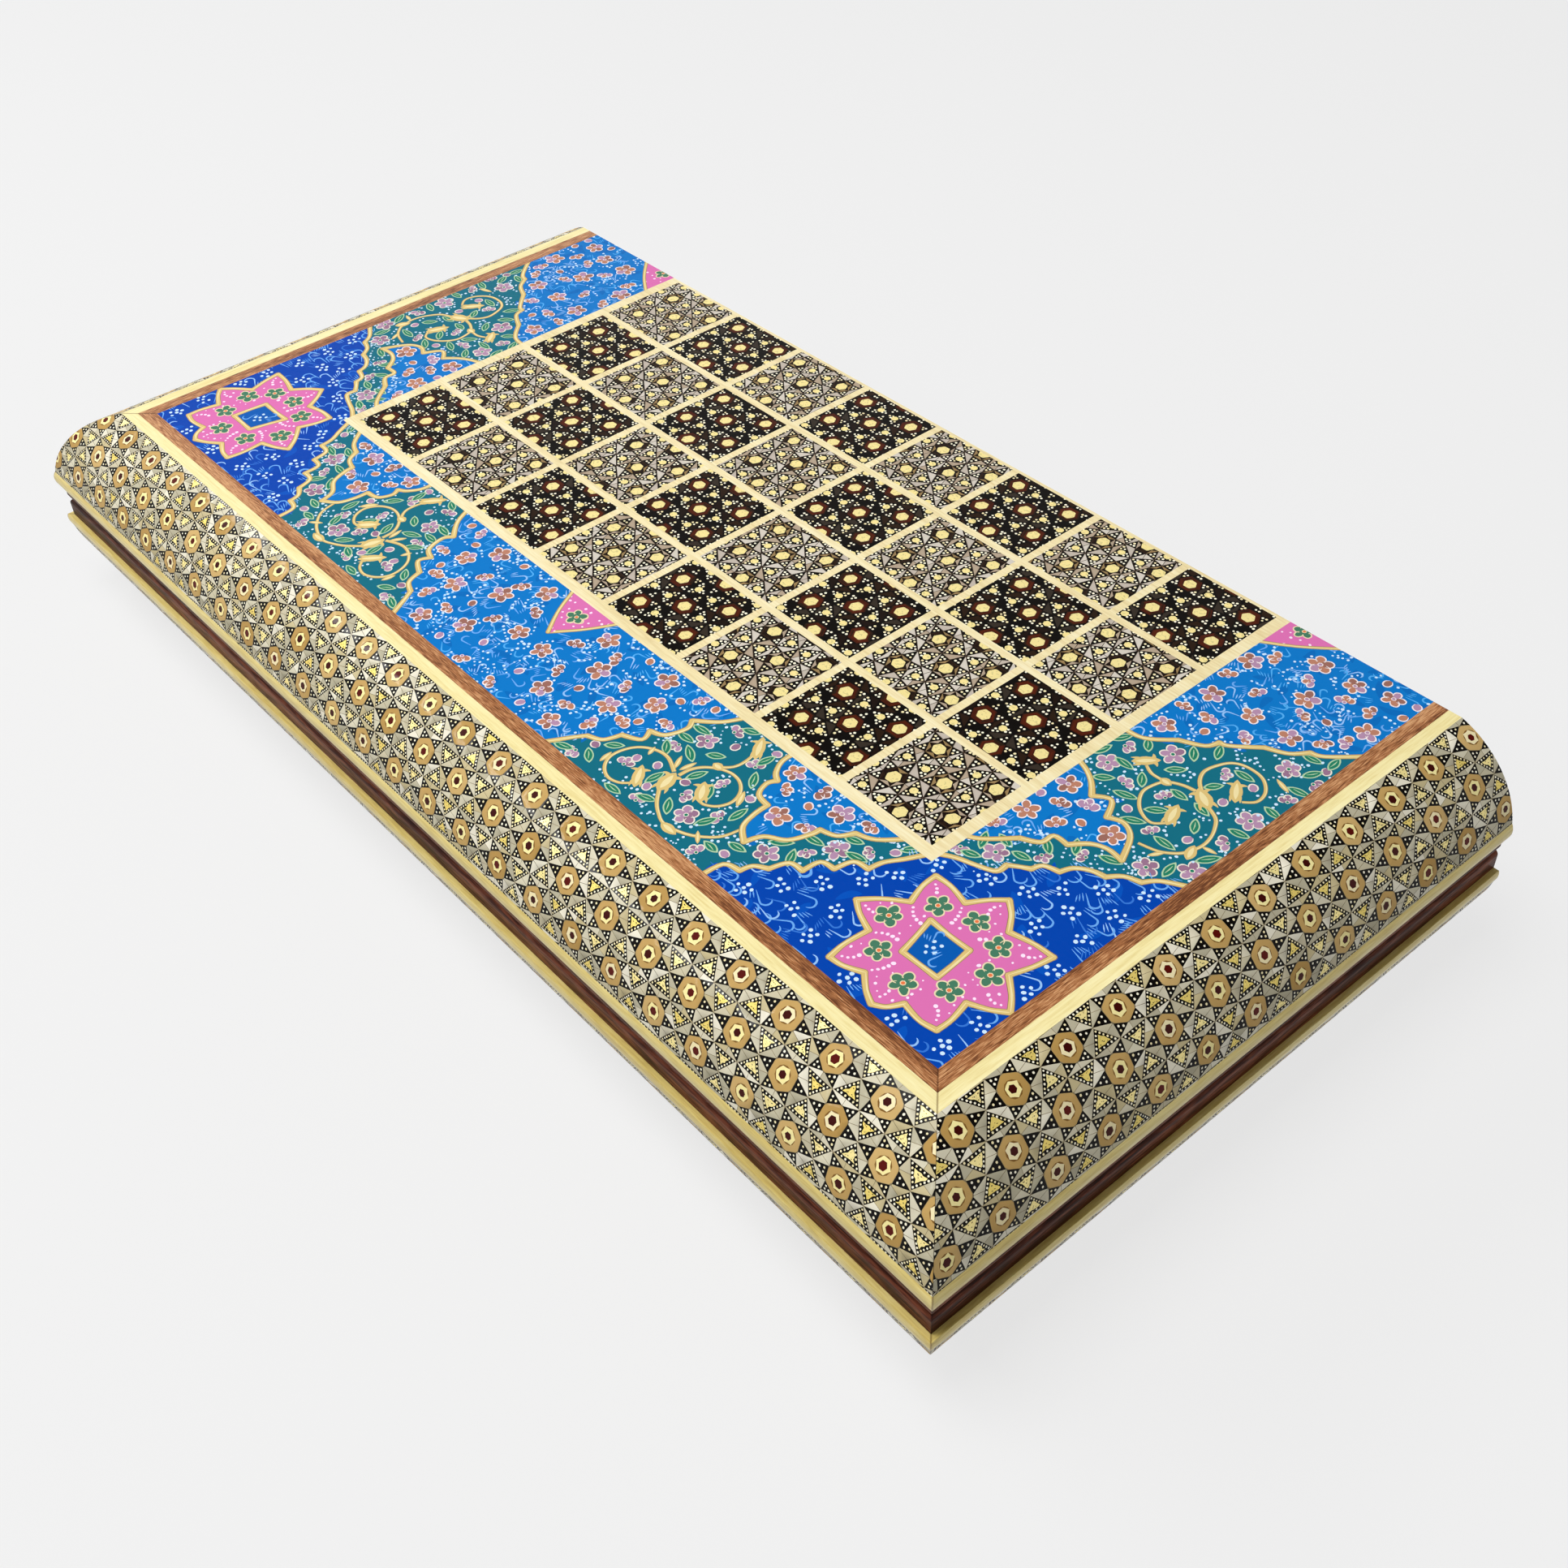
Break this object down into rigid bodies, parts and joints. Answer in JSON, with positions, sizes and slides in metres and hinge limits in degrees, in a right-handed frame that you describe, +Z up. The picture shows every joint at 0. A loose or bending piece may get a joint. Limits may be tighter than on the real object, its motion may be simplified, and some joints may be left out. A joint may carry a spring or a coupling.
{
  "type": "folding chess and backgammon board",
  "caption": "Folding inlaid game board: rounded hinged leaves with a chess field and painted border outside and a backgammon table inside.",
  "frame": {"origin": "centre of the closed board's footprint, on the surface it lies on", "axes": "+X along the spine, +Y towards the spine and its hinges, -Y the opening side, +Z up; the lower leaf lies on its chess face"},
  "size_m": [0.4986, 0.248, 0.079],
  "materials": {
    "inlay_moulding": "lacquered star inlay of wood, bone and brass",
    "inlay_light": "lacquered star inlay, pale ground",
    "inlay_dark": "lacquered star inlay, black ground",
    "pale_wood": "gloss lacquer",
    "walnut": "gloss lacquer",
    "painted_wood": "hand painted under gloss lacquer",
    "rosewood": "gloss lacquer",
    "rail_wood": "satin lacquer",
    "plywood": "bare",
    "table_wood": "satin lacquer",
    "point_light": "satin lacquer",
    "point_dark": "satin lacquer",
    "brass": "polished"
  },
  "bodies": {
    "lower_leaf": {"backgammon_table_lower": "table_wood", "chess_dark_squares_lower": "inlay_dark", "chess_light_squares_lower": "inlay_light", "chess_stringing_lower": "pale_wood", "core_panel_lower": "plywood", "cream_banding_lower": "pale_wood", "edge_line_lower": "pale_wood", "front_rail_lower": "rail_wood", "hinge_pin_left": "brass", "hinge_pin_right": "brass", "hinge_plate_left_lower": "brass", "hinge_plate_right_lower": "brass", "hinge_screws_lower": "brass", "inlaid_moulding_front_lower": "inlay_moulding", "inlaid_moulding_left_lower": "inlay_moulding", "inlaid_moulding_right_lower": "inlay_moulding", "left_rail_lower": "rail_wood", "painted_border_front_lower": "painted_wood", "painted_border_left_lower": "painted_wood", "painted_border_right_lower": "painted_wood", "points_dark_lower": "point_dark", "points_light_lower": "point_light", "right_rail_lower": "rail_wood", "rim_lip_lower": "rosewood", "spine_rail_lower": "rail_wood", "walnut_banding_lower": "walnut"},
    "upper_leaf": {"backgammon_table_upper": "table_wood", "chess_dark_squares_upper": "inlay_dark", "chess_light_squares_upper": "inlay_light", "chess_stringing_upper": "pale_wood", "core_panel_upper": "plywood", "cream_banding_upper": "pale_wood", "edge_line_upper": "pale_wood", "front_rail_upper": "rail_wood", "hinge_plate_left_upper": "brass", "hinge_plate_right_upper": "brass", "hinge_screws_upper": "brass", "inlaid_moulding_front_upper": "inlay_moulding", "inlaid_moulding_left_upper": "inlay_moulding", "inlaid_moulding_right_upper": "inlay_moulding", "left_rail_upper": "rail_wood", "painted_border_front_upper": "painted_wood", "painted_border_left_upper": "painted_wood", "painted_border_right_upper": "painted_wood", "points_dark_upper": "point_dark", "points_light_upper": "point_light", "right_rail_upper": "rail_wood", "rim_lip_upper": "rosewood", "spine_rail_upper": "rail_wood", "walnut_banding_upper": "walnut"}
  },
  "joints": [
    {"name": "fold", "type": "hinge", "parent": "lower_leaf", "child": "upper_leaf", "pos_m": [0, 0.12127, 0.0395], "axis": [-1, 0, 0], "range_deg": [0, 180]}
  ]
}
